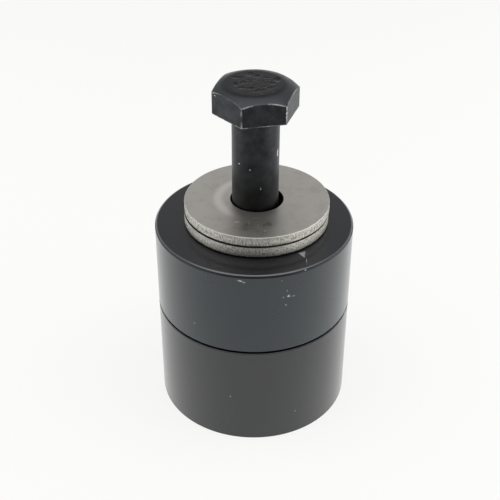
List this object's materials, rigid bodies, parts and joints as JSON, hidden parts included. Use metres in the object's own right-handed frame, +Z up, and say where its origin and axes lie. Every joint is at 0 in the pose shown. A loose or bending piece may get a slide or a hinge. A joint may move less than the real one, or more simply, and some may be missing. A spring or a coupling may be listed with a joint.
{
  "type": "dimple die",
  "caption": "Pair of round dies that flare a hole in sheet metal, drawn together by a hexagon bolt with two large washers and a nut.",
  "frame": {"origin": "centre of the lower die's base, on the surface that the die stands on", "axes": "+Z up along the dies' axis, towards the bolt head; -Y faces the picture's camera"},
  "size_m": [0.051, 0.051, 0.0904],
  "materials": {
    "die_steel": "turned steel, black oxide, satin",
    "washer_steel": "bare blanked steel, dull",
    "bolt_steel": "forged steel, black oxide, oiled"
  },
  "bodies": {
    "lower_die": {"lower_die": "die_steel"},
    "upper_die": {"upper_die": "die_steel"},
    "washer_lower": {"washer_lower": "washer_steel"},
    "washer_upper": {"washer_upper": "washer_steel"},
    "bolt": {"bolt": "bolt_steel"},
    "nut": {"nut": "bolt_steel"}
  },
  "joints": [
    {"name": "upper_die_lift", "type": "slide", "parent": "lower_die", "child": "upper_die", "axis": [0, 0, 1], "range_m": [0, 0.032]},
    {"name": "washer_spin", "type": "hinge", "parent": "upper_die", "child": "washer_lower", "pos_m": [0.00055, 0.00055, 0.053], "axis": [0, 0, 1], "continuous": true},
    {"name": "head_turn", "type": "hinge", "parent": "upper_die", "child": "washer_upper", "pos_m": [0.00025, 0.0002, 0.0561], "axis": [0, 0, 1], "continuous": true},
    {"name": "bolt_run_down", "type": "slide", "parent": "washer_upper", "child": "bolt", "axis": [0, 0, 1], "range_m": [-0.02425, 0]},
    {"name": "nut_turn", "type": "hinge", "parent": "washer_upper", "child": "nut", "pos_m": [0.00025, 0.0002, 0.005], "axis": [0, 0, 1], "range_deg": [0, 4989]}
  ],
  "couplings": [
    {"joint": "nut_turn", "follows": "bolt_run_down", "rad_per_m": -3590.4}
  ]
}
